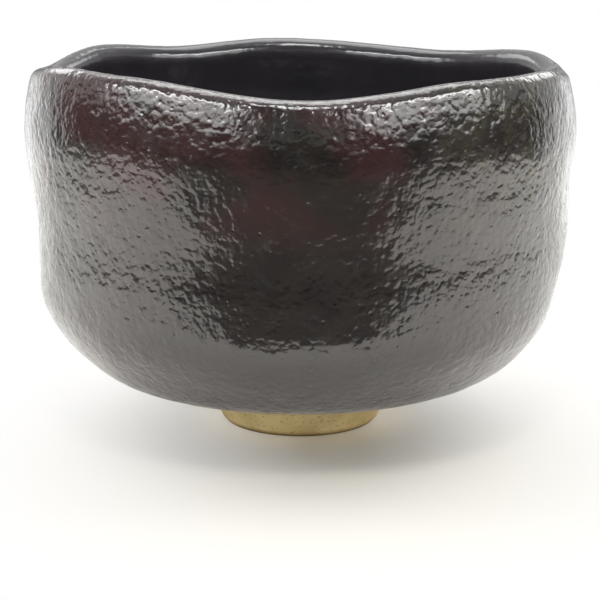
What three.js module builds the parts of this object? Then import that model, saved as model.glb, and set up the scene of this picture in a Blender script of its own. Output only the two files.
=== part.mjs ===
// A hand-formed, black-glazed tea bowl, in millimetres, +Z up.
// The origin is the middle of the foot's contact face, and the front of the bowl is -Y.
// Four pieces: the biscuit-fired clay body, the foot ring luted under it, and the outside and inside
// coats of glaze, which meet on the crest of the lip. Each piece is turned from a profile of radius and
// height, and the maker's hand then moves its points: the wandering lip, the scraped hip, the pressed wall.
import * as THREE from "three";

// The clay wall, from the foot up. Radii are of the outside face.
const bowlHeight = 79.1; // mean height of the lip's crest above the table
const bellyRadius = 59.3; // the widest part, a little under the lip
const bellyDrop = 11.8; // from the crest down to the belly
const waistInset = 2.2; // how far the waist lies inside the belly's radius
const waistRise = 39.5; // from the top of the foot up to the waist
const wallFootInset = 3.4; // where the upright wall ends and the hip begins
const wallFootRise = 22.4;
const hipInset = 7.2; // the middle of the rounded hip
const hipRise = 14.9;
const heelInset = 15.5; // where the hip runs out into the underside
const heelRise = 7.6;
const undersideInset = 27.0; // on the nearly straight underside
const undersideRise = 3.7;

// The thickness of the clay.
const lipThickness = 4.4;
const lipInset = 3.8; // the crest leans in from the belly by this much
const lipSteps = 4; // stations over the lip's half round
const wallThickness = 5.0;
const hipThickness = 6.4;
const floorThickness = 6.2;

// The shallow well in the middle of the floor, where the last of the tea gathers.
const wellRadius = 17.5;
const wellDepth = 1.6;

// The foot ring, which narrows downwards.
const footHeight = 6.5;
const footTopRadius = 20.4;
const footRadius = 17.6; // at the table, before its worn edge
const footWaist = 0.2; // how far its side is hollowed, half-way up
const footWidth = 7.4; // of the ring's seat on the body
const footHollowRadius = 13.5; // of the hollow inside the ring, at the table
const footBevel = 0.8; // the pared edges on both sides of the contact face

// The hollow under the body, inside the foot ring, with the small point left by the last turn of the knife.
const hollowRise = 1.0; // its ceiling above the seat of the foot ring
const hollowSlope = 2.0; // the width of the slope from the seat up to the ceiling
const pointRadius = 4.2;
const pointDrop = 1.7;
const pointTipRadius = 1.5; // where the point rounds over
const pointTipDrop = 1.3;

// The glaze, and the bare clay that it leaves round the foot.
const outsideGlaze = 0.7;
const insideGlaze = 0.6;
const glazeSeat = 0.03; // the hairline left between two pieces where, once fired, one has melted on to the other
const glazePool = 0.5; // how much thicker the inside coat lies in the middle of the well
const glazeLineRadius = 24.2;
const glazeLineWander = 0.9; // the glaze line strays in and out by this much
const glazeTaper = 5; // the glaze reaches its full thickness this far from its line

// What the hand does to the turned form.
const lipWaveStart = 30; // height at which the wall starts to follow the lip's waves
const facetCount = 11; // flats left by the scraper round the hip
const facetDepth = 0.4;
const facetReach = 11; // how far up and down from the middle of the hip a flat fades out
const facetWander = 6; // degrees by which a flat strays from its even place
const planRise = 30; // from the top of the foot up to where the plan is fully out of round
const ovalDepth = 0.35; // the plan is a little oval, and a little three-sided
const ovalAzimuth = -20;
const threeSidedDepth = 0.3;
const threeSidedAzimuth = 25;

// The crest's five peaks and the dips between them: azimuth in degrees, and rise over the mean height.
// Azimuth 0 is +X, and -90 is the front.
const lipContour = [
  [-190, -1.4],
  [-143, 2.3],
  [-128, 2.0],
  [-88, -1.3],
  [-54, 1.2],
  [-30, 1.1],
  [-2, -1.0],
  [20, 0.75],
  [53, -1.35],
  [97, 0.5],
  [121, -0.75],
  [147, 1.0],
];

// Places that a palm or a finger pressed in, or left proud: azimuth in degrees, height, push outwards,
// and how far the mark spreads along the wall and up it.
const handMarks = [
  { azimuth: 0, height: 41.8, push: 2.8, along: 17, up: 4.7 },
  { azimuth: 0, height: 31.8, push: -1.45, along: 19, up: 5.5 },
  { azimuth: -4, height: 54, push: -0.5, along: 16, up: 6 },
  { azimuth: 180, height: 29, push: 0.5, along: 22, up: 6 },
  { azimuth: 180, height: 79, push: 0.2, along: 20, up: 7 },
  { azimuth: -92, height: 48, push: -0.7, along: 26, up: 14 },
  { azimuth: 128, height: 50, push: -0.8, along: 22, up: 13 },
];

const around = 56; // facets round the bowl
const samplesPerSpan = 2; // profile points between two stations

const degrees = Math.PI / 180;
const smooth = (share) => THREE.MathUtils.smoothstep(share, 0, 1);
const station = (radius, height) => new THREE.Vector3(radius, 0, height);
const through = (stations) => new THREE.CatmullRomCurve3(stations, false, "centripetal");

// The rise of the nearly straight underside for each millimetre outwards.
const undersideSlope = undersideRise / (bellyRadius - undersideInset - footTopRadius);

// The outside of the clay, from the edge of the foot's seat up to the belly.
function outsideStations() {
  return [
    station(footTopRadius, footHeight),
    station(glazeLineRadius, footHeight + undersideSlope * (glazeLineRadius - footTopRadius)),
    station(bellyRadius - undersideInset, footHeight + undersideRise),
    station(bellyRadius - heelInset, footHeight + heelRise),
    station(bellyRadius - hipInset, footHeight + hipRise),
    station(bellyRadius - wallFootInset, footHeight + wallFootRise),
    station(bellyRadius - waistInset, footHeight + waistRise),
    station(bellyRadius, bowlHeight - bellyDrop),
  ];
}

// Half a round over the lip, from its outside face to its inside face.
function lipStations() {
  const half = lipThickness / 2;
  return Array.from({ length: lipSteps + 1 }, (_, i) => {
    const turn = (Math.PI * i) / lipSteps;
    return station(bellyRadius - lipInset + half * Math.cos(turn), bowlHeight - half + half * Math.sin(turn));
  });
}

// The inside of the clay, from the belly down to the middle of the well, a thickness away from the outside.
function insideStations(outside) {
  const curve = through(outside);
  const within = (index, thickness) => {
    const along = curve.getTangent(index / (outside.length - 1));
    return station(outside[index].x - along.z * thickness, outside[index].z + along.x * thickness);
  };
  const [, , underside, heel, hip, wallFoot, waist, belly] = outside.keys();
  const wellFloor = footHeight + hollowRise + floorThickness;
  return [
    within(belly, wallThickness),
    within(waist, wallThickness),
    within(wallFoot, hipThickness),
    within(hip, hipThickness),
    within(heel, hipThickness),
    within(underside, floorThickness),
    station(wellRadius, wellFloor + wellDepth),
    station(wellRadius / 2, wellFloor + wellDepth / 4),
    station(0, wellFloor),
  ];
}

// Samples of the clay's whole visible profile: from the foot's seat, over the lip, to the middle of the well.
// Each has its radius r, its height z, the normal out of the clay, and whether it is on the bowl's outside.
const outside = outsideStations();
const lip = lipStations();
const inside = insideStations(outside);
const clayCurve = through([...outside, ...lip, ...inside]);
const spans = outside.length + lip.length + inside.length - 1;
const crest = (outside.length + (lip.length - 1) / 2) * samplesPerSpan;
const glazeLine = samplesPerSpan;
const clayFace = Array.from({ length: spans * samplesPerSpan + 1 }, (_, i) => {
  const share = i / (spans * samplesPerSpan);
  const point = clayCurve.getPoint(share);
  const along = i === crest ? new THREE.Vector3(-1, 0, 0) : clayCurve.getTangent(share);
  return { r: Math.max(point.x, 0), z: point.z, normal: [along.z, -along.x], outside: i <= crest };
});
const middle = clayFace[clayFace.length - 1];
middle.normal = [0, 1];

// The two faces of a coat of glaze over a stretch of the clay: the one seated on it and the one to be seen.
function coatFaces(stretch, thicknessAt) {
  const raised = (sample, distance) => ({
    ...sample,
    r: sample.r + sample.normal[0] * distance,
    z: sample.z + sample.normal[1] * distance,
  });
  const seated = stretch.map((sample) => raised(sample, glazeSeat));
  const seen = stretch.map((sample) => raised(sample, glazeSeat + thicknessAt(sample)));
  return { seated, seen };
}

// The rise of the lip's crest at an azimuth, easing from each peak to the next dip.
function lipRise(azimuth) {
  const turn = THREE.MathUtils.euclideanModulo(azimuth - lipContour[0][0], 360) + lipContour[0][0];
  const next = lipContour.findIndex(([at]) => at > turn);
  const last = next < 0 ? lipContour.length - 1 : next - 1;
  const [fromAzimuth, fromRise] = lipContour[last];
  const [toAzimuth, toRise] = next < 0 ? [lipContour[0][0] + 360, lipContour[0][1]] : lipContour[next];
  return THREE.MathUtils.lerp(fromRise, toRise, smooth((turn - fromAzimuth) / (toAzimuth - fromAzimuth)));
}

// How deep the scraper's flats cut the outside of the hip.
function facetCut(azimuth, height) {
  const away = Math.abs(height - footHeight - hipRise) / facetReach;
  if (away >= 1) return 0;
  const wander = azimuth + facetWander * Math.sin(2 * azimuth * degrees);
  const across = 2 * THREE.MathUtils.euclideanModulo((wander * facetCount) / 360, 1) - 1;
  return facetDepth * (1 - across * across) * (1 - smooth(away));
}

// How far the palms and fingers push the wall out at a point.
function handPush(azimuth, height) {
  return handMarks.reduce((sum, mark) => {
    const turn = THREE.MathUtils.euclideanModulo(azimuth - mark.azimuth + 180, 360) - 180;
    const along = (turn * degrees * bellyRadius) / mark.along;
    const up = (height - mark.height) / mark.up;
    return sum + mark.push * Math.exp(-along * along - up * up);
  }, 0);
}

// How far the plan stands out of round at a point.
function planPush(azimuth, height) {
  const oval = ovalDepth * Math.cos(2 * (azimuth - ovalAzimuth) * degrees);
  const threeSided = threeSidedDepth * Math.cos(3 * (azimuth - threeSidedAzimuth) * degrees);
  return (oval + threeSided) * smooth((height - footHeight) / planRise);
}

// How far the glaze line strays outwards along the underside, which takes the clay beside it along.
function lineStray(azimuth, radius) {
  const nearLine = 1 - smooth(Math.abs(radius - glazeLineRadius) / (glazeLineRadius - footTopRadius));
  const waves = Math.sin(3 * azimuth * degrees) + Math.cos(5 * azimuth * degrees);
  return (glazeLineWander * nearLine * waves) / 2;
}

// Moves a turned point as the hand did. The foot's seat and everything inside it stay as turned.
function handFormed(point, sample) {
  const radius = Math.hypot(point.x, point.y);
  if (radius <= footTopRadius || sample.foot) return point;
  const azimuth = Math.atan2(point.y, point.x) / degrees;
  const height = point.z;
  const cut = sample.outside ? facetCut(azimuth, height) : 0;
  const underside = sample.outside && height < footHeight + undersideRise;
  const stray = underside ? lineStray(azimuth, radius) : 0;
  const out = planPush(azimuth, height) + handPush(azimuth, height) - cut + stray;
  const follow = smooth((height - lipWaveStart) / (bowlHeight - lipWaveStart));
  return new THREE.Vector3(
    point.x * (1 + out / radius),
    point.y * (1 + out / radius),
    height + follow * lipRise(azimuth) + stray * undersideSlope,
  );
}

// Turns a profile about the Z axis and forms it by hand. Where two pieces meet, both profiles run the same
// way along the seat, so that their facets match, and the one that comes out inside out is turned round.
function formed(name, profile, material) {
  const points = profile.map(({ r, z }) => new THREE.Vector2(r, z));
  const geometry = new THREE.LatheGeometry(points, around).rotateX(Math.PI / 2);
  if (THREE.ShapeUtils.area(points) < 0) {
    const corners = geometry.getIndex().array;
    for (let i = 0; i < corners.length; i += 3) [corners[i], corners[i + 1]] = [corners[i + 1], corners[i]];
  }
  const position = geometry.getAttribute("position");
  const point = new THREE.Vector3();
  for (let i = 0; i < position.count; i++) {
    point.fromBufferAttribute(position, i);
    position.setXYZ(i, ...handFormed(point, profile[i % profile.length]));
  }
  geometry.computeVertexNormals();
  const mesh = new THREE.Mesh(geometry, material);
  mesh.name = name;
  return mesh;
}

// The underside of the body inside the foot ring, from the middle point out to the edge of the seat.
function hollowFace() {
  const ceiling = footHeight + hollowRise;
  const edge = footTopRadius - footWidth;
  return [
    { r: 0, z: ceiling - pointDrop },
    { r: pointTipRadius, z: ceiling - pointTipDrop },
    { r: pointRadius, z: ceiling },
    { r: edge - hollowSlope, z: ceiling },
    { r: edge, z: footHeight },
  ];
}

// The foot ring: a seat on top, a tapering outside, two pared edges and a flat to stand on.
function footFace() {
  const seatInner = footTopRadius - footWidth;
  return [
    { r: footHollowRadius + footBevel, z: 0 },
    { r: footRadius - footBevel, z: 0 },
    { r: footRadius, z: footBevel },
    { r: (footRadius + footTopRadius) / 2 - footWaist, z: footHeight / 2 },
    { r: footTopRadius, z: footHeight },
    { r: seatInner, z: footHeight },
    { r: footHollowRadius, z: footBevel },
  ].map((corner) => ({ ...corner, foot: true }));
}

const closed = (profile) => [...profile, profile[0]];

const clay = { color: 0xa8925c, roughness: 0.85, metalness: 0 };
const glaze = { color: 0x1c181b, roughness: 0.3, metalness: 0 };

function clayBody() {
  return formed("clay_body", [...hollowFace(), ...clayFace], new THREE.MeshStandardMaterial(clay));
}

function footRing() {
  return formed("foot_ring", closed(footFace()), new THREE.MeshStandardMaterial(clay));
}

// The outside coat, which thins out to nothing at the glaze line.
function outerGlaze() {
  const { seated, seen } = coatFaces(clayFace.slice(glazeLine, crest + 1), ({ r, z }) => {
    const fromLine = r - glazeLineRadius + Math.max(z - footHeight - undersideRise, 0);
    return outsideGlaze * Math.sqrt(Math.min(Math.max(fromLine, 0) / glazeTaper, 1));
  });
  const profile = closed([...seated, ...seen.slice(1).reverse()]);
  return formed("outer_glaze", profile, new THREE.MeshStandardMaterial(glaze));
}

// The inside coat, which starts as thick as the outside one on the crest and pools in the well.
function innerGlaze() {
  const { seated, seen } = coatFaces(clayFace.slice(crest), ({ r, z }) => {
    const fromCrest = smooth((bowlHeight - z) / lipThickness);
    const pool = glazePool * (1 - smooth(r / wellRadius));
    return THREE.MathUtils.lerp(outsideGlaze, insideGlaze, fromCrest) + pool;
  });
  seated[0].r -= glazeSeat;
  seen[0].r -= glazeSeat;
  const profile = closed([...seated, ...seen.reverse()]);
  return formed("inner_glaze", profile, new THREE.MeshStandardMaterial(glaze));
}

const bowl = new THREE.Group();
bowl.add(clayBody(), footRing(), outerGlaze(), innerGlaze());

export default bowl;
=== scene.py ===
# The looks of a hand-formed black tea bowl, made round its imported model. Metres, +Z up, the front is -Y.
# Each CAD piece is turned and pressed by hand, so its points lie in rings. The pieces here take those
# rings from the frame, draw smooth surfaces through them, and add the crinkled glaze and the pared clay.
import math
import bmesh
import bpy
import numpy as np
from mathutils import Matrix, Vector


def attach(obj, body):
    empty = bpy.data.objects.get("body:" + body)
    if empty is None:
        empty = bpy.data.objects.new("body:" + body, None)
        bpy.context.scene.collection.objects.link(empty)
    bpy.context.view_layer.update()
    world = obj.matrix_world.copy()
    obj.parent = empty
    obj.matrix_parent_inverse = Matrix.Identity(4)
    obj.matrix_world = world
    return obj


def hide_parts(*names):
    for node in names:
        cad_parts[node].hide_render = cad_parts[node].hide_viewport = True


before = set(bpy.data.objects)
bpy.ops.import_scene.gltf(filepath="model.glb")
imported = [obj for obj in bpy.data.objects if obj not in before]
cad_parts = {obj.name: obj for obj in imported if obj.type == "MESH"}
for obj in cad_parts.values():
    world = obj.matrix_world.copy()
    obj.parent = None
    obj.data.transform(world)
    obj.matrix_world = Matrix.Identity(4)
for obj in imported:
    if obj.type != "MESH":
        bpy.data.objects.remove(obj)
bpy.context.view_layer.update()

MM = 0.001
BODY = "root"
SEED = 11.0

# How close two points count as one, how near the axis a point lies on it, and the spread under which a ring
# is a single point.
WELD = 0.0005 * MM
ON_AXIS = 0.01 * MM
ONE_POINT = 0.001 * MM

# How finely the surfaces are drawn.
GLAZE_FACETS = 600
OUTSIDE_STEP = 0.66 * MM
INSIDE_STEP = 0.9 * MM
CLAY_FACETS = 360
CLAY_STEP = 0.5 * MM
CLAY_EASE = 1.5 * MM
BODY_RINGS_IN_SIGHT = 8

# The glaze's relief: all of it outside, half of it on the crest of the lip, and less inside the bowl.
EDGE_EASE = 5 * MM
CREST_RELIEF = 0.5
INSIDE_RELIEF = 0.4
CREST_EASE = 9 * MM

# The camera, at the photograph's angle: it looks at the axis a little above the middle of the bowl's hip.
CAMERA_ELEVATION = 13.2
CAMERA_DISTANCE = 0.420
CAMERA_LENS = 112.2
AIM_HEIGHT = 0.0267

# The dark card round the front. By the turn from the front in degrees: how far it reaches round, up to
# where it comes close, and from where it stays back. Then its near edge in front and at the sides.
CARD_TURN = 112
CARD_FULL = 18
CARD_OPEN = 62
CARD_FRONT = 0.106
CARD_SIDE = 0.28

# The narrow card behind, and what both cards share: a far edge that turns up, and their facets.
CARD_BEHIND_TURN = 24
CARD_BEHIND = 0.14
CARD_FAR = 1.2
CARD_LIFT = 0.0005
CARD_HEIGHT = 0.25
CARD_STEPS = 48


def linear(colour):
    """An sRGB colour such as "#1c181b" as the linear colour that a shader takes."""
    channels = [int(colour[i : i + 2], 16) / 255 for i in (1, 3, 5)]
    return [*(c / 12.92 if c <= 0.04045 else ((c + 0.055) / 1.055) ** 2.4 for c in channels), 1.0]


def add(tree, kind, inputs=None, **settings):
    """Adds a node with its settings. An input takes a value, another node's first output, or a socket."""
    node = tree.nodes.new(kind)
    for name, value in settings.items():
        setattr(node, name, value)
    for name, value in (inputs or {}).items():
        if isinstance(value, bpy.types.Node):
            value = next(socket for socket in value.outputs if socket.enabled)
        if isinstance(value, bpy.types.NodeSocket):
            tree.links.new(value, node.inputs[name])
        else:
            node.inputs[name].default_value = value
    return node


def new_material(name):
    """A material with nothing in its tree yet, and that tree."""
    material = bpy.data.materials.new(name)
    material.use_nodes = True
    material.node_tree.nodes.clear()
    return material, material.node_tree


# Thick black glaze, brushed on in many layers and drawn red hot from the kiln. Iron gives it red clouds
# round the shoulder, and olive ones where one side stayed cooler. Its rich flux gives it a strong wet
# shine, and the boiling melt froze with low wrinkles and burst bubbles.
def black_glaze():
    material, tree = new_material("black_iron_glaze_crinkled")
    place = add(tree, "ShaderNodeTexCoord").outputs["Object"]
    clouds = add(tree, "ShaderNodeTexNoise", {"Vector": place, "Scale": 1 / (15 * MM), "Detail": 2.0})
    red_share = add(tree, "ShaderNodeMapRange", {"Value": clouds, "From Min": 0.4, "From Max": 0.62})
    spots = add(tree, "ShaderNodeTexNoise", {"Vector": place, "Scale": 1 / (7 * MM), "Detail": 3.0})
    olive_share = add(tree, "ShaderNodeMapRange", {"Value": spots, "From Min": 0.42, "From Max": 0.72})
    at = add(tree, "ShaderNodeSeparateXYZ", {"Vector": place}).outputs
    cooler = add(tree, "ShaderNodeMapRange", {"Value": at["X"], "From Min": 22 * MM, "From Max": 36 * MM})
    shoulder = add(tree, "ShaderNodeMapRange", {"Value": at["Z"], "From Min": 47 * MM, "From Max": 59 * MM})
    cooled = add(tree, "ShaderNodeMath", {0: shoulder, 1: cooler}, operation="MULTIPLY")
    olive = add(
        tree,
        "ShaderNodeMix",
        {"Factor": cooled, 6: linear("#242019"), 7: linear("#37321f")},
        data_type="RGBA",
    )
    dark = add(
        tree,
        "ShaderNodeMix",
        {"Factor": olive_share, 6: linear("#1c1817"), 7: olive},
        data_type="RGBA",
    )
    heated = add(tree, "ShaderNodeMath", {0: shoulder, 1: cooler}, operation="SUBTRACT", use_clamp=True)
    red = add(tree, "ShaderNodeMath", {0: red_share, 1: heated}, operation="MULTIPLY")
    colour = add(tree, "ShaderNodeMix", {"Factor": red, 6: dark, 7: linear("#341e1f")}, data_type="RGBA")
    gloss = add(tree, "ShaderNodeTexNoise", {"Vector": place, "Scale": 1 / (5 * MM), "Detail": 2.0})
    roughness = add(
        tree,
        "ShaderNodeMapRange",
        {"Value": gloss, "From Min": 0.35, "From Max": 0.65, "To Min": 0.18, "To Max": 0.28},
    )
    wrinkles = add(tree, "ShaderNodeTexNoise", {"Vector": place, "Scale": 1 / (1.8 * MM), "Detail": 1.5})
    wrinkled = add(tree, "ShaderNodeBump", {"Height": wrinkles, "Distance": 0.2 * MM})
    drift = add(
        tree,
        "ShaderNodeVectorMath",
        {0: wrinkles.outputs["Color"], 1: (1.6 * MM,) * 3, 2: place},
        operation="MULTIPLY_ADD",
    )
    cells = add(
        tree,
        "ShaderNodeTexVoronoi",
        {"Vector": drift, "Scale": 1 / (1.4 * MM), "Smoothness": 0.4},
        feature="SMOOTH_F1",
    )
    domes = add(tree, "ShaderNodeMath", {0: cells, 1: 2.0}, operation="POWER")
    relief = add(
        tree,
        "ShaderNodeMapRange",
        {"Value": gloss, "From Min": 0.35, "From Max": 0.65, "To Min": 0.05 * MM, "To Max": 0.13 * MM},
    )
    domed = add(
        tree,
        "ShaderNodeBump",
        {"Height": domes, "Distance": relief, "Normal": wrinkled},
        invert=True,
    )
    bubbles = add(tree, "ShaderNodeTexVoronoi", {"Vector": place, "Scale": 1 / (2.4 * MM)}).outputs
    pits = add(
        tree,
        "ShaderNodeMapRange",
        {"Value": bubbles["Distance"], "From Min": 0.02, "From Max": 0.22, "To Min": 1.0, "To Max": 0.0},
        interpolation_type="SMOOTHSTEP",
    )
    uneven_pits = add(tree, "ShaderNodeMath", {0: pits, 1: bubbles["Color"]}, operation="MULTIPLY")
    pitted = add(
        tree,
        "ShaderNodeBump",
        {"Height": uneven_pits, "Distance": 0.1 * MM, "Normal": domed},
        invert=True,
    )
    shader = add(
        tree,
        "ShaderNodeBsdfPrincipled",
        {
            "Base Color": colour,
            "Roughness": roughness,
            "IOR": 1.65,
            "Normal": pitted,
            "Coat Weight": 1.0,
            "Coat Roughness": 0.14,
            "Coat IOR": 1.5,
            "Coat Normal": pitted,
        },
    )
    add(tree, "ShaderNodeOutputMaterial", {"Surface": shader})
    return material


# The same glaze inside the bowl, where it lies thick and smooth and keeps a cold, purplish black.
def black_glaze_inside():
    material, tree = new_material("black_iron_glaze_smooth")
    place = add(tree, "ShaderNodeTexCoord").outputs["Object"]
    clouds = add(tree, "ShaderNodeTexNoise", {"Vector": place, "Scale": 1 / (14 * MM), "Detail": 3.0})
    share = add(tree, "ShaderNodeMapRange", {"Value": clouds, "From Min": 0.4, "From Max": 0.65})
    colour = add(
        tree,
        "ShaderNodeMix",
        {"Factor": share, 6: linear("#262329"), 7: linear("#312c31")},
        data_type="RGBA",
    )
    wrinkles = add(tree, "ShaderNodeTexNoise", {"Vector": place, "Scale": 1 / (2.6 * MM), "Detail": 1.0})
    wrinkled = add(tree, "ShaderNodeBump", {"Height": wrinkles, "Distance": 0.12 * MM})
    shader = add(
        tree,
        "ShaderNodeBsdfPrincipled",
        {
            "Base Color": colour,
            "Roughness": 0.5,
            "IOR": 1.3,
            "Normal": wrinkled,
            "Coat Weight": 1.0,
            "Coat Roughness": 0.15,
            "Coat IOR": 1.65,
            "Coat Normal": wrinkled,
        },
    )
    add(tree, "ShaderNodeOutputMaterial", {"Surface": shader})
    return material


# Bare ochre biscuit clay, pared with a knife and never glazed: matt and sandy, with the blade's level
# strokes, darker in patches where it was handled, and darker along the bottom edge that it stands on.
def bare_clay():
    material, tree = new_material("biscuit_clay_pared")
    place = add(tree, "ShaderNodeTexCoord").outputs["Object"]
    handling = add(tree, "ShaderNodeTexNoise", {"Vector": place, "Scale": 1 / (9 * MM), "Detail": 3.0})
    handled = add(tree, "ShaderNodeMapRange", {"Value": handling, "From Min": 0.4, "From Max": 0.65})
    body = add(
        tree,
        "ShaderNodeMix",
        {"Factor": handled, 6: linear("#d0bd8d"), 7: linear("#b6a374")},
        data_type="RGBA",
    )
    sand = add(tree, "ShaderNodeTexNoise", {"Vector": place, "Scale": 1 / (0.7 * MM), "Detail": 2.0})
    grit = add(tree, "ShaderNodeMapRange", {"Value": sand, "From Min": 0.6, "From Max": 0.72})
    grainy_body = add(
        tree,
        "ShaderNodeMix",
        {"Factor": grit, 6: body, 7: linear("#9a875c")},
        data_type="RGBA",
    )
    height = add(tree, "ShaderNodeSeparateXYZ", {"Vector": place}).outputs["Z"]
    # Darker brown below about 1.4 mm above the floor, and fully so below 0.2 mm.
    above_bottom_edge = add(tree, "ShaderNodeMapRange", {"Value": height, "From Min": 0.2 * MM, "From Max": 1.4 * MM})
    colour = add(
        tree,
        "ShaderNodeMix",
        {"Factor": above_bottom_edge, 6: linear("#8a7145"), 7: grainy_body},
        data_type="RGBA",
    )
    level = add(tree, "ShaderNodeMapping", {"Vector": place, "Scale": (0.25, 0.25, 1.6)})
    strokes = add(tree, "ShaderNodeTexNoise", {"Vector": level, "Scale": 1 / (1.5 * MM), "Detail": 2.0})
    pared = add(tree, "ShaderNodeBump", {"Height": strokes, "Distance": 0.25 * MM})
    grainy = add(tree, "ShaderNodeBump", {"Height": sand, "Distance": 0.08 * MM, "Normal": pared})
    shader = add(
        tree,
        "ShaderNodeBsdfPrincipled",
        {"Base Color": colour, "Roughness": 0.95, "IOR": 1.35, "Normal": grainy},
    )
    add(tree, "ShaderNodeOutputMaterial", {"Surface": shader})
    return material


def rings(node):
    """A node's rings of points, in order along its profile: an array of rings, points round the axis, and
    x y z. The hand moved each point only along its radius and its height, so it is still in its own
    half-plane."""
    mesh = bmesh.new()
    mesh.from_mesh(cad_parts[node].data)
    bmesh.ops.remove_doubles(mesh, verts=mesh.verts, dist=WELD)
    radius = {v: math.hypot(v.co.x, v.co.y) for v in mesh.verts}
    off_axis = [v for v in mesh.verts if radius[v] > ON_AXIS]
    azimuth = {v: round(math.degrees(math.atan2(v.co.y, v.co.x)) % 360, 2) % 360 for v in off_axis}
    planes = []
    for plane in sorted(set(azimuth.values())):
        within = {v for v in off_axis if azimuth[v] == plane}
        within |= {v for v in mesh.verts if v not in azimuth}
        beside = {v: [e.other_vert(v) for e in v.link_edges if e.other_vert(v) in within] for v in within}
        chain = [min(within, key=lambda v: (radius[v], v.co.z))]
        while True:
            onward = [v for v in beside[chain[-1]] if v not in chain]
            if not onward:
                break
            chain.append(min(onward, key=lambda v: v.co.z) if len(chain) == 1 else onward[0])
        planes.append([tuple(v.co) for v in chain])
    mesh.free()
    return np.array(planes).transpose(1, 0, 2)


def finer_round(grid, facets):
    """The same rings with more points round the axis. A ring repeats after a full turn, so waves fit it."""
    return np.fft.irfft(np.fft.rfft(grid, axis=1), n=facets, axis=1) * (facets / grid.shape[1])


def run_along(grid):
    """How far along the profile each ring lies, as a mean over its points."""
    return np.concatenate([[0], np.cumsum(np.linalg.norm(np.diff(grid, axis=0), axis=2).mean(axis=1))])


def evenly(start, end, step):
    """Distances from start to end, about one step apart."""
    return np.linspace(start, end, round((end - start) / step) + 1)


def straight_rows(grid, step):
    """The given rings with more between them, about one step apart, on straight lines from ring to ring."""
    at = run_along(grid)
    wanted = np.unique(np.concatenate([evenly(a, b, step) for a, b in zip(at, at[1:])]))
    span = np.clip(np.searchsorted(at, wanted, side="right") - 1, 0, len(at) - 2)
    share = ((wanted - at[span]) / (at[span + 1] - at[span]))[:, None, None]
    return (1 - share) * grid[span] + share * grid[span + 1]


def rows_at(grid, wanted):
    """Rings at the wanted distances along the profile, on smooth curves through the given rings."""
    at = run_along(grid)
    slopes = np.gradient(grid, at, axis=0)
    span = np.clip(np.searchsorted(at, wanted, side="right") - 1, 0, len(at) - 2)
    width = (at[span + 1] - at[span])[:, None, None]
    share = (wanted - at[span])[:, None, None] / width
    before = (1 + 2 * share) * grid[span] + share * width * slopes[span]
    after = (3 - 2 * share) * grid[span + 1] + (share - 1) * width * slopes[span + 1]
    return (1 - share) ** 2 * before + share**2 * after


def outwards(grid):
    """The direction out of a sheet of rings at each point, where its rings run up, over or in."""
    round_axis = np.roll(grid, -1, axis=1) - np.roll(grid, 1, axis=1)
    along = np.gradient(grid, axis=0)
    normal = np.cross(round_axis, along)
    for pole, beside in ((0, 1), (-1, -2)):
        if np.ptp(grid[pole, :, :2]) < ONE_POINT:
            normal[pole] = normal[beside].mean(axis=0)
    return normal / np.linalg.norm(normal, axis=2, keepdims=True)


def solid(name, grid, closed, out, shares):
    """A piece from rings of points. A ring on the axis is one point. out holds the direction in which each
    point is pushed by surface relief, and shares how much of that relief each ring takes."""
    count, facets = grid.shape[:2]
    size = [1 if np.ptp(ring[:, :2]) < ONE_POINT else facets for ring in grid]
    start = np.concatenate([[0], np.cumsum(size)])
    pairs = [(i, i + 1) for i in range(count - 1)] + ([(count - 1, 0)] if closed else [])
    faces = []
    for a, b in pairs:
        for j in range(facets):
            corners = [start[i] + k % facets % size[i] for i, k in ((a, j), (a, j + 1), (b, j + 1), (b, j))]
            faces.append(list(dict.fromkeys(corners)))
    mesh = bpy.data.meshes.new(name)
    mesh.from_pydata(np.concatenate([ring[:n] for ring, n in zip(grid, size)]).tolist(), [], faces)
    share = mesh.attributes.new("relief", "FLOAT", "POINT")
    share.data.foreach_set("value", np.repeat(np.array(shares, np.float32), size))
    push = mesh.attributes.new("out", "FLOAT_VECTOR", "POINT")
    push.data.foreach_set("vector", np.concatenate([ring[:n] for ring, n in zip(out, size)]).ravel())
    work = bmesh.new()
    work.from_mesh(mesh)
    bmesh.ops.recalc_face_normals(work, faces=work.faces)
    for face in work.faces:
        face.smooth = True
    work.to_mesh(mesh)
    work.free()
    piece = bpy.data.objects.new(name, mesh)
    bpy.context.scene.collection.objects.link(piece)
    return piece


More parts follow.
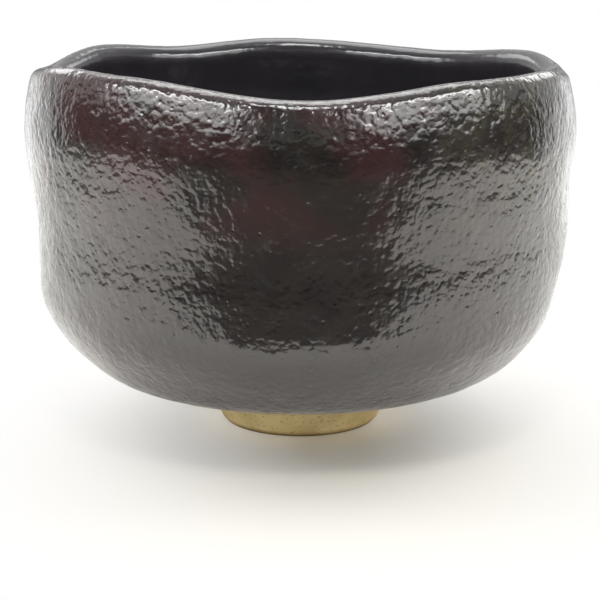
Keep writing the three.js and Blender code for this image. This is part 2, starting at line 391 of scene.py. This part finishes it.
def relief_tree():
    """Pushes a surface in and out by soft noise of two sizes, and a little in overall."""
    tree = bpy.data.node_groups.new("hand_made_surface", "GeometryNodeTree")
    tree.interface.new_socket(name="Geometry", in_out="INPUT", socket_type="NodeSocketGeometry")
    widths_and_depths = [f"{size} {way} mm" for size in ("Swell", "Crinkle") for way in ("width", "depth")]
    for label in (*widths_and_depths, "Inset mm", "Seed"):
        tree.interface.new_socket(name=label, in_out="INPUT", socket_type="NodeSocketFloat")
    tree.interface.new_socket(name="Material", in_out="INPUT", socket_type="NodeSocketMaterial")
    tree.interface.new_socket(name="Geometry", in_out="OUTPUT", socket_type="NodeSocketGeometry")
    given = add(tree, "NodeGroupInput").outputs
    position = add(tree, "GeometryNodeInputPosition")
    height = given["Inset mm"]
    for size in ("Swell", "Crinkle"):
        scale = add(tree, "ShaderNodeMath", {0: 1 / MM, 1: given[f"{size} width mm"]}, operation="DIVIDE")
        field = add(
            tree,
            "ShaderNodeTexNoise",
            {"Vector": position, "W": given["Seed"], "Scale": scale, "Detail": 1.0, "Distortion": 0.2},
            noise_dimensions="4D",
        )
        centred = add(tree, "ShaderNodeMath", {0: 0.5, 1: field}, operation="SUBTRACT")
        depth = given[f"{size} depth mm"]
        height = add(tree, "ShaderNodeMath", {0: centred, 1: depth, 2: height}, operation="MULTIPLY_ADD")
    share = add(tree, "GeometryNodeInputNamedAttribute", {"Name": "relief"}, data_type="FLOAT")
    taken = add(tree, "ShaderNodeMath", {0: height, 1: share}, operation="MULTIPLY")
    inwards = add(tree, "ShaderNodeMath", {0: taken, 1: -MM}, operation="MULTIPLY")
    out = add(tree, "GeometryNodeInputNamedAttribute", {"Name": "out"}, data_type="FLOAT_VECTOR")
    offset = add(tree, "ShaderNodeVectorMath", {0: out, "Scale": inwards}, operation="SCALE")
    moved = add(tree, "GeometryNodeSetPosition", {"Geometry": given["Geometry"], "Offset": offset})
    real = add(tree, "GeometryNodeRealizeInstances", {"Geometry": moved})
    made = add(tree, "GeometryNodeSetMaterial", {"Geometry": real, "Material": given["Material"]})
    add(tree, "NodeGroupOutput", {"Geometry": made})
    return tree


def textured(piece, tree, material, **sizes):
    """Runs the relief on a piece with its named inputs, and leaves the piece a plain mesh."""
    modifier = piece.modifiers.new("relief", "NODES")
    modifier.node_group = tree
    for item in tree.interface.items_tree:
        if item.in_out == "INPUT" and item.name in sizes:
            modifier[item.identifier] = float(sizes[item.name])
        if item.in_out == "INPUT" and item.name == "Material":
            modifier[item.identifier] = material
    bpy.context.view_layer.update()
    evaluated = piece.evaluated_get(bpy.context.evaluated_depsgraph_get())
    finished = bpy.data.meshes.new_from_object(evaluated)
    piece.modifiers.clear()
    piece.data = finished
    return piece


def finish_piece(piece, slot, *nodes):
    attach(piece, BODY)
    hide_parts(*nodes)


def points_of(piece):
    """A piece's points, as an array."""
    found = np.empty(len(piece.data.vertices) * 3)
    piece.data.vertices.foreach_get("co", found)
    return found.reshape(-1, 3)


def smooth_over_crest(coat, coat_start, lining, lining_start):
    """Gives the two coats one shared normal at each point of the crest, where they meet."""
    outside, inside = points_of(coat), points_of(lining)
    crest = outside[coat_start : coat_start + GLAZE_FACETS]
    below = outside[coat_start - GLAZE_FACETS : coat_start]
    beyond = inside[lining_start + GLAZE_FACETS : lining_start + 2 * GLAZE_FACETS]
    shared = np.cross(np.roll(crest, -1, axis=0) - np.roll(crest, 1, axis=0), beyond - below)
    shared /= np.linalg.norm(shared, axis=1, keepdims=True)
    for piece, points, start in ((coat, outside, coat_start), (lining, inside, lining_start)):
        normals = np.zeros_like(points)
        normals[start : start + GLAZE_FACETS] = shared
        piece.data.normals_split_custom_set_from_vertices(normals.tolist())


def glaze_coats(tree):
    """The two coats of glaze. Their visible face is one sheet, parted on the crest of the lip."""
    outer, inner = rings("outer_glaze"), rings("inner_glaze")
    top_outer, top_inner = len(outer) // 2, len(inner) // 2
    crest_ring = (outer[top_outer] + inner[top_inner]) / 2
    given = np.concatenate([outer[:top_outer], crest_ring[None], inner[top_inner + 1 :]])
    given = finer_round(given, GLAZE_FACETS)
    at = run_along(given)
    up = evenly(0, at[top_outer], OUTSIDE_STEP)
    down = evenly(at[top_outer], at[-1], INSIDE_STEP)
    crest = len(up) - 1
    sheet = rows_at(given, np.concatenate([up, down[1:]]))
    out = outwards(sheet)
    outside = np.interp(at[top_outer] - up, [0, CREST_EASE], [CREST_RELIEF, 1])
    outside *= np.minimum(up / EDGE_EASE, 1)
    inside = np.interp(down - down[0], [0, CREST_EASE], [CREST_RELIEF, INSIDE_RELIEF])
    hidden_outer = finer_round(outer[top_outer + 1 :], GLAZE_FACETS)
    hidden_inner = finer_round(inner[:top_inner], GLAZE_FACETS)

    coat = solid(
        "outer_glaze_coat",
        np.concatenate([sheet[: crest + 1], hidden_outer]),
        True,
        np.concatenate([out[: crest + 1], np.zeros_like(hidden_outer)]),
        np.concatenate([outside, np.zeros(len(hidden_outer))]),
    )
    lining = solid(
        "inner_glaze_coat",
        np.concatenate([hidden_inner, sheet[crest:]]),
        False,
        np.concatenate([np.zeros_like(hidden_inner), out[crest:]]),
        np.concatenate([np.zeros(len(hidden_inner)), inside]),
    )
    sizes = {
        "Swell width mm": 8,
        "Swell depth mm": 0.4,
        "Crinkle width mm": 2.8,
        "Crinkle depth mm": 0.2,
        "Inset mm": 0.12,
    }
    textured(coat, tree, black_glaze(), Seed=SEED, **sizes)
    textured(lining, tree, black_glaze_inside(), Seed=SEED, **sizes)
    before_crest = 1 + (len(hidden_inner) - 1) * GLAZE_FACETS
    smooth_over_crest(coat, crest * GLAZE_FACETS, lining, before_crest)
    finish_piece(coat, "black_glaze", "outer_glaze")
    finish_piece(lining, "black_glaze_inside", "inner_glaze")


def bare_pieces(tree):
    """The clay body and its foot."""
    material = bare_clay()
    sizes = {
        "Swell width mm": 6,
        "Swell depth mm": 0.15,
        "Crinkle width mm": 1.6,
        "Crinkle depth mm": 0.08,
        "Inset mm": 0.05,
    }
    given = finer_round(rings("clay_body"), CLAY_FACETS)
    in_sight = straight_rows(given[:BODY_RINGS_IN_SIGHT], CLAY_STEP)
    hidden = given[BODY_RINGS_IN_SIGHT:]
    reach = np.hypot(in_sight[:, :, 0], in_sight[:, :, 1]).mean(axis=1)
    foot_rings = rings("foot_ring")
    joint = np.hypot(foot_rings[:, :, 0], foot_rings[:, :, 1]).mean(axis=1)
    beside_foot = np.minimum(reach - joint.max(), reach[-1] - reach)
    from_edges = np.where(reach < joint.min(), joint.min() - reach, beside_foot)
    body = solid(
        "clay_bowl",
        np.concatenate([in_sight, hidden]),
        False,
        np.concatenate([outwards(in_sight), np.zeros_like(hidden)]),
        np.concatenate([np.clip(from_edges / CLAY_EASE, 0, 1), np.zeros(len(hidden))]),
    )
    full_turn = finer_round(foot_rings[[*range(len(foot_rings)), 0]], CLAY_FACETS)
    loop = straight_rows(full_turn, CLAY_STEP)[:-1]
    rise = loop[:, :, 2].mean(axis=1)
    from_ends = np.minimum(rise, rise.max() - rise)
    foot = solid("clay_foot", loop, True, outwards(loop), np.clip(from_ends / CLAY_EASE, 0, 1))
    for piece, node in ((body, "clay_body"), (foot, "foot_ring")):
        textured(piece, tree, material, Seed=SEED, **sizes)
        finish_piece(piece, "bare_clay", node)


def place_camera():
    camera = bpy.data.objects.new("camera", bpy.data.cameras.new("camera"))
    bpy.context.scene.collection.objects.link(camera)
    bpy.context.scene.camera = camera
    rise = math.radians(CAMERA_ELEVATION)
    back = Vector((0, -math.cos(rise), math.sin(rise)))
    camera.location = Vector((0, 0, AIM_HEIGHT)) + back * CAMERA_DISTANCE
    camera.rotation_euler = (-back).to_track_quat("-Z", "Y").to_euler()
    camera.data.lens = CAMERA_LENS
    camera.data.clip_start = 0.01


def lamp(name, place, aim, size, brightness, mirrored=True, lights=True):
    """A soft box that faces a point. Its brightness is what a mirror would show of it, where 1 is white. It
    is mirrored in the glaze, or lights the matt surfaces, or both."""
    light = bpy.data.lights.new(name, "AREA")
    light.shape = "RECTANGLE"
    light.size, light.size_y = size
    light.energy = brightness * math.pi * light.size * light.size_y
    box = bpy.data.objects.new(name, light)
    box.location = place
    box.rotation_euler = (Vector(aim) - Vector(place)).to_track_quat("-Z", "Y").to_euler()
    box.visible_camera = False
    box.visible_glossy = mirrored
    box.visible_diffuse = lights
    bpy.context.scene.collection.objects.link(box)


# White paper, matt: near the bowl it takes the bowl's shadow, which painted light lifts towards white from
# an ellipse just in front of the axis outwards, and further off it is plain white to look at.
# In the glaze it is neutral, with a painted reflection that makes it greyer behind the bowl than in front.
def white_paper():
    material, tree = new_material("white_paper_matt")
    place = add(tree, "ShaderNodeTexCoord").outputs["Object"]
    distance = add(tree, "ShaderNodeVectorMath", {0: place}, operation="LENGTH").outputs["Value"]
    # Painted light: to the camera the paper is mixed with white. There is none at an ellipse centre a
    # little right of and in front of the axis, and it is fully white 0.1 m from there, so the shadow shows
    # fully only at its middle.
    shade = add(
        tree,
        "ShaderNodeMapping",
        {"Vector": place, "Location": (-0.010, 0.022, 0), "Scale": (1.25, 0.85, 1)},
    )
    from_shade = add(tree, "ShaderNodeVectorMath", {0: shade}, operation="LENGTH").outputs["Value"]
    near = add(tree, "ShaderNodeMapRange", {"Value": from_shade, "From Min": 0.008, "From Max": 0.1})
    far = add(
        tree,
        "ShaderNodeMapRange",
        {"Value": distance, "From Min": 0.25, "From Max": 0.45},
        interpolation_type="SMOOTHSTEP",
    )
    rays = add(tree, "ShaderNodeLightPath").outputs
    mirrored = add(
        tree,
        "ShaderNodeMath",
        {0: rays["Is Glossy Ray"], 1: rays["Is Transmission Ray"]},
        operation="MAXIMUM",
    )
    looked_at = add(tree, "ShaderNodeMath", {0: near, 1: rays["Is Camera Ray"]}, operation="MULTIPLY")
    share = add(tree, "ShaderNodeMath", {0: far, 1: mirrored, 2: looked_at}, operation="MULTIPLY_ADD")
    # Painted reflection: the paper that the glaze mirrors is greyer behind the bowl than in front.
    depth = add(tree, "ShaderNodeSeparateXYZ", {"Vector": place}).outputs["Y"]
    behind = add(tree, "ShaderNodeMapRange", {"Value": depth, "From Min": -0.04, "From Max": 0.08})
    in_glaze = add(
        tree,
        "ShaderNodeMix",
        {"Factor": behind, 6: linear("#fffaf5"), 7: linear("#cdccc8")},
        data_type="RGBA",
    )
    tint = add(
        tree,
        "ShaderNodeMix",
        {"Factor": mirrored, 6: linear("#f0ebde"), 7: in_glaze},
        data_type="RGBA",
    )
    paper = add(tree, "ShaderNodeBsdfPrincipled", {"Base Color": tint, "Roughness": 0.9})
    white = add(tree, "ShaderNodeEmission", {"Color": linear("#ffffff"), "Strength": 1.0})
    shown = add(tree, "ShaderNodeMixShader", {0: share, 1: paper, 2: white})
    add(tree, "ShaderNodeOutputMaterial", {"Surface": shown})
    return material


# Card, matt, that only the glaze mirrors, a painted reflection: grey near the bowl and black further off,
# and not so black at the sides and behind.
def graded_card():
    material, tree = new_material("painted_reflection_card_matt")
    place = add(tree, "ShaderNodeTexCoord").outputs["Object"]
    distance = add(tree, "ShaderNodeVectorMath", {0: place}, operation="LENGTH").outputs["Value"]
    # Painted reflection: grey near the bowl, black further off and in front, lighter towards the sides.
    far = add(tree, "ShaderNodeMapRange", {"Value": distance, "From Min": 0.27, "From Max": 0.31})
    aside = add(tree, "ShaderNodeVectorMath", {0: place}, operation="NORMALIZE")
    turn = add(tree, "ShaderNodeSeparateXYZ", {"Vector": aside}).outputs["Y"]
    side = add(tree, "ShaderNodeMapRange", {"Value": turn, "From Min": -0.95, "From Max": -0.5})
    black = add(
        tree,
        "ShaderNodeMix",
        {"Factor": side, 6: linear("#1c1a18"), 7: linear("#4a4642")},
        data_type="RGBA",
    )
    grey = add(tree, "ShaderNodeMix", {"Factor": far, 6: linear("#4c4946"), 7: black}, data_type="RGBA")
    shader = add(tree, "ShaderNodeBsdfPrincipled", {"Base Color": grey, "Roughness": 1.0})
    add(tree, "ShaderNodeOutputMaterial", {"Surface": shader})
    return material


def near_edge_in_front(turn):
    """How far from the bowl's axis the front card begins, by the turn from the front in degrees."""
    share = min(max((abs(turn) - CARD_FULL) / (CARD_OPEN - CARD_FULL), 0), 1)
    return CARD_FRONT + (CARD_SIDE - CARD_FRONT) * share * share * (3 - 2 * share)


def card(name, material, way, reach, near_edge):
    """A card on the floor that keeps the room dark in the glaze's reflections. Nothing else sees it. It
    lies round the front where way is -1, and round the back where it is 1."""
    points, faces = [], []
    for i in range(CARD_STEPS + 1):
        turn = reach * (2 * i / CARD_STEPS - 1)
        across, ahead = math.sin(math.radians(turn)), math.cos(math.radians(turn))
        near = near_edge(turn)
        for radius, height in ((near, CARD_LIFT), (CARD_FAR, CARD_LIFT), (CARD_FAR, CARD_HEIGHT)):
            points.append((radius * across, radius * ahead * way, height))
        if i > 0:
            a, b = 3 * i - 3, 3 * i
            faces += [(a, b, b + 1, a + 1), (a + 1, b + 1, b + 2, a + 2)]
    mesh = bpy.data.meshes.new(name)
    mesh.from_pydata(points, [], faces)
    mesh.materials.append(material)
    sheet = bpy.data.objects.new(name, mesh)
    bpy.context.scene.collection.objects.link(sheet)
    sheet.visible_camera = False
    sheet.visible_diffuse = False
    sheet.visible_shadow = False


def surroundings():
    """What the glaze reflects of the room: pale behind and overhead, and dim in front above the horizon."""
    world = bpy.data.worlds.new("studio")
    bpy.context.scene.world = world
    world.use_nodes = True
    tree = world.node_tree
    tree.nodes.clear()
    direction = add(tree, "ShaderNodeTexCoord").outputs["Generated"]
    parts = add(tree, "ShaderNodeSeparateXYZ", {"Vector": direction}).outputs
    dim = add(
        tree,
        "ShaderNodeMapRange",
        {"Value": parts["Y"], "From Min": -0.95, "From Max": -0.5, "To Min": 0.06, "To Max": 0.2},
    )
    ahead = add(
        tree,
        "ShaderNodeMapRange",
        {"Value": parts["Z"], "From Min": 0.12, "From Max": 0.3, "To Min": 0.75, "To Max": dim},
    )
    turned = add(tree, "ShaderNodeMapRange", {"Value": parts["Y"], "From Min": 0.0, "From Max": 0.5})
    low = add(tree, "ShaderNodeMix", {"Factor": turned, "A": ahead, "B": 0.7})
    top = add(tree, "ShaderNodeMapRange", {"Value": parts["Z"], "From Min": 0.72, "From Max": 0.9})
    backdrop = add(tree, "ShaderNodeMix", {"Factor": top, "A": low, "B": 0.65})
    rays = add(tree, "ShaderNodeLightPath").outputs
    mirrored = add(
        tree,
        "ShaderNodeMath",
        {0: rays["Is Glossy Ray"], 1: rays["Is Transmission Ray"]},
        operation="MAXIMUM",
    )
    room = add(tree, "ShaderNodeMix", {"Factor": mirrored, "A": 0.18, "B": backdrop})
    strength = add(tree, "ShaderNodeMix", {"Factor": rays["Is Camera Ray"], "A": room, "B": 1.0})
    background = add(tree, "ShaderNodeBackground", {"Color": linear("#ffffff"), "Strength": strength})
    add(tree, "ShaderNodeOutputWorld", {"Surface": background})


def lamps():
    """The glaze mirrors one small lamp overhead, the ceiling, and at each side a broad window with a lit
    rail above it, a smaller window behind and a low strip. The others light only the matt surfaces."""
    lamp("overhead", place=(0, -0.50, 0.95), aim=(0, 0, 0.05), size=(0.26, 0.26), brightness=10.5)
    lamp("ceiling", place=(0, 0.45, 1.0), aim=(0, 0, 0), size=(1.0, 0.8), brightness=2.6)
    lamp(
        "front_low",
        place=(0, -0.60, 0.12),
        aim=(0, 0, 0),
        size=(0.5, 0.15),
        brightness=4.4,
        mirrored=False,
    )
    for side, word in ((-1, "left"), (1, "right")):
        lamp(
            f"window_{word}",
            place=(0.40 * side, -0.30, 0.29),
            aim=(0, 0, 0.03),
            size=(0.62, 0.2),
            brightness=2.7,
            lights=False,
        )
        lamp(
            f"rail_{word}",
            place=(0.38 * side, -0.29, 0.36),
            aim=(0, 0, 0.05),
            size=(0.56, 0.035),
            brightness=16,
            lights=False,
        )
        lamp(
            f"back_window_{word}",
            place=(0.34 * side, 0.42, 0.32),
            aim=(0, 0, 0.05),
            size=(0.3, 0.14),
            brightness=2.2,
            lights=False,
        )
        lamp(
            f"strip_{word}",
            place=(0.138 * side, 0.197, 0.046),
            aim=(0, 0, 0.046),
            size=(0.2, 0.09),
            brightness=0.35,
        )
        lamp(
            f"high_{word}",
            place=(0.55 * side, 0.25, 0.70),
            aim=(0.1 * side, 0, 0),
            size=(0.5, 0.5),
            brightness=3.8,
            mirrored=False,
        )
        lamp(
            f"fill_{word}",
            place=(0.55 * side, 0.05, 0.17),
            aim=(0, 0, 0),
            size=(0.5, 0.2),
            brightness=5.5,
            mirrored=False,
        )


def studio():
    """A pale floor under plain soft light."""
    bpy.ops.mesh.primitive_plane_add(size=6, location=(0, 0, 0))
    floor = bpy.context.object
    floor.name = "floor"
    floor.data.materials.append(white_paper())
    grey_card = graded_card()
    card("card_in_front", grey_card, -1, CARD_TURN, near_edge_in_front)
    card("card_behind", grey_card, 1, CARD_BEHIND_TURN, lambda turn: CARD_BEHIND)
    surroundings()
    lamps()
    bpy.context.scene.view_settings.view_transform = "Standard"


place_camera()
surface = relief_tree()
glaze_coats(surface)
bare_pieces(surface)
studio()
